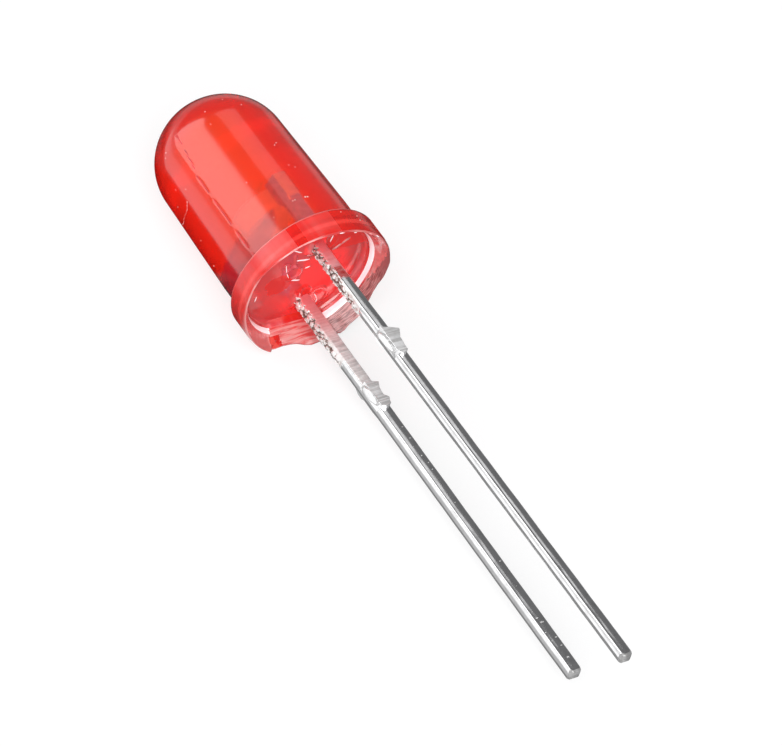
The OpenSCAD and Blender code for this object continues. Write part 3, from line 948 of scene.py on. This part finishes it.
# mirrored in the leads and the lens it shows a painted reflection, not the lit paper: white
# in front of the part and under the near side of the leads, dim beside the lens, a painted
# shadow of the part, and grey far away
place = nodes.new("ShaderNodeTexCoord").outputs["Object"]
axes = nodes.new("ShaderNodeSeparateXYZ")
link(place, axes.inputs["Vector"])
x_at, y_at = axes.outputs["X"], axes.outputs["Y"]
distance = nodes.new("ShaderNodeVectorMath")
distance.operation = "LENGTH"
link(place, distance.inputs[0])
away = distance.outputs["Value"]
under_leads = ramp_node(nodes, link, x_at, -1.2 * MM, -0.5 * MM)
near_side = ramp_node(nodes, link, y_at, -0.3 * MM, -0.5 * MM, 0.24, 0.52)
for start, end, step in ((-0.95 * MM, -1.3 * MM, 0.63), (-3.8 * MM, -4.4 * MM, -0.63)):
    near_side = maths(nodes, link, "ADD", near_side, ramp_node(nodes, link, y_at, start, end, 0, step))
leads_tone = maths(nodes, link, "MULTIPLY", under_leads, near_side)
front_tone = maths(nodes, link, "MULTIPLY", ramp_node(nodes, link, y_at, -5.5 * MM, -6.2 * MM),
                   ramp_node(nodes, link, away, 20 * MM, 45 * MM, 1, 0.45, smooth=True))
far_tone = ramp_node(nodes, link, away, 13 * MM, 24 * MM, 0.03, 0.30, smooth=True)
level = maths(nodes, link, "MAXIMUM", leads_tone, maths(nodes, link, "MAXIMUM", front_tone, far_tone))
# and a painted red glow beside the lens, seen only in those mirrored rays, stands for light that has passed
# through the lens
beside_lens = maths(nodes, link, "MULTIPLY", ramp_node(nodes, link, away, 14 * MM, 10 * MM),
                    ramp_node(nodes, link, x_at, -3.0 * MM, -3.6 * MM))
beside_lens = maths(nodes, link, "MULTIPLY", beside_lens, ramp_node(nodes, link, level, 0.3, 0.1))
mirror_tone = nodes.new("ShaderNodeEmission")
link(mix_colours(nodes, link, beside_lens, (1.0, 1.0, 1.0), (1.0, 0.04, 0.03)), mirror_tone.inputs["Color"])
red_light = maths(nodes, link, "MULTIPLY", beside_lens, 0.25)
link(maths(nodes, link, "ADD", level, red_light), mirror_tone.inputs["Strength"])
mirrored = maths(
    nodes, link, "GREATER_THAN", path.outputs["Is Glossy Ray"], path.outputs["Is Transmission Ray"])
pick = nodes.new("ShaderNodeMixShader")
link(mirrored, pick.inputs["Fac"])
link(gloss.outputs["BSDF"], pick.inputs[1])
link(mirror_tone.outputs["Emission"], pick.inputs[2])
link(pick.outputs["Shader"], nodes["Material Output"].inputs["Surface"])
table_top.data.materials.append(paper)

world = bpy.data.worlds.new("studio")
bpy.context.scene.world = world
world.use_nodes = True
nodes, link = world.node_tree.nodes, world.node_tree.links.new
nodes.clear()
path = nodes.new("ShaderNodeLightPath")
seen = maths(nodes, link, "MAXIMUM", path.outputs["Is Camera Ray"], path.outputs["Is Transmission Ray"])
dim = mix_colours(nodes, link, path.outputs["Is Glossy Ray"], (0.35, 0.35, 0.36), (0.15, 0.15, 0.152))
sky = nodes.new("ShaderNodeBackground")
link(mix_colours(nodes, link, seen, dim, (1.0, 1.0, 1.0)), sky.inputs["Color"])
out = nodes.new("ShaderNodeOutputWorld")
link(sky.outputs["Background"], out.inputs["Surface"])

# The camera stands above the lead tips, about 0.17 m back, with a long lens. It looks down
# along the leads at the lens, with a roll that lays the part across the picture.
camera_data = bpy.data.cameras.new("camera")
camera_data.sensor_width = 36
camera_data.lens = 229.535
camera_data.clip_start = 0.01
camera = bpy.data.objects.new("camera", camera_data)
eye = Vector((87.406, -83.083, 115.104)) * MM
aim = Vector((3.1898, 1.3507, -1.3277)) * MM
camera.matrix_world = aimed(eye, aim) @ Matrix.Rotation(math.radians(18.637), 4, "Z")
bpy.context.scene.collection.objects.link(camera)
bpy.context.scene.camera = camera
bpy.context.scene.view_settings.view_transform = "Standard"
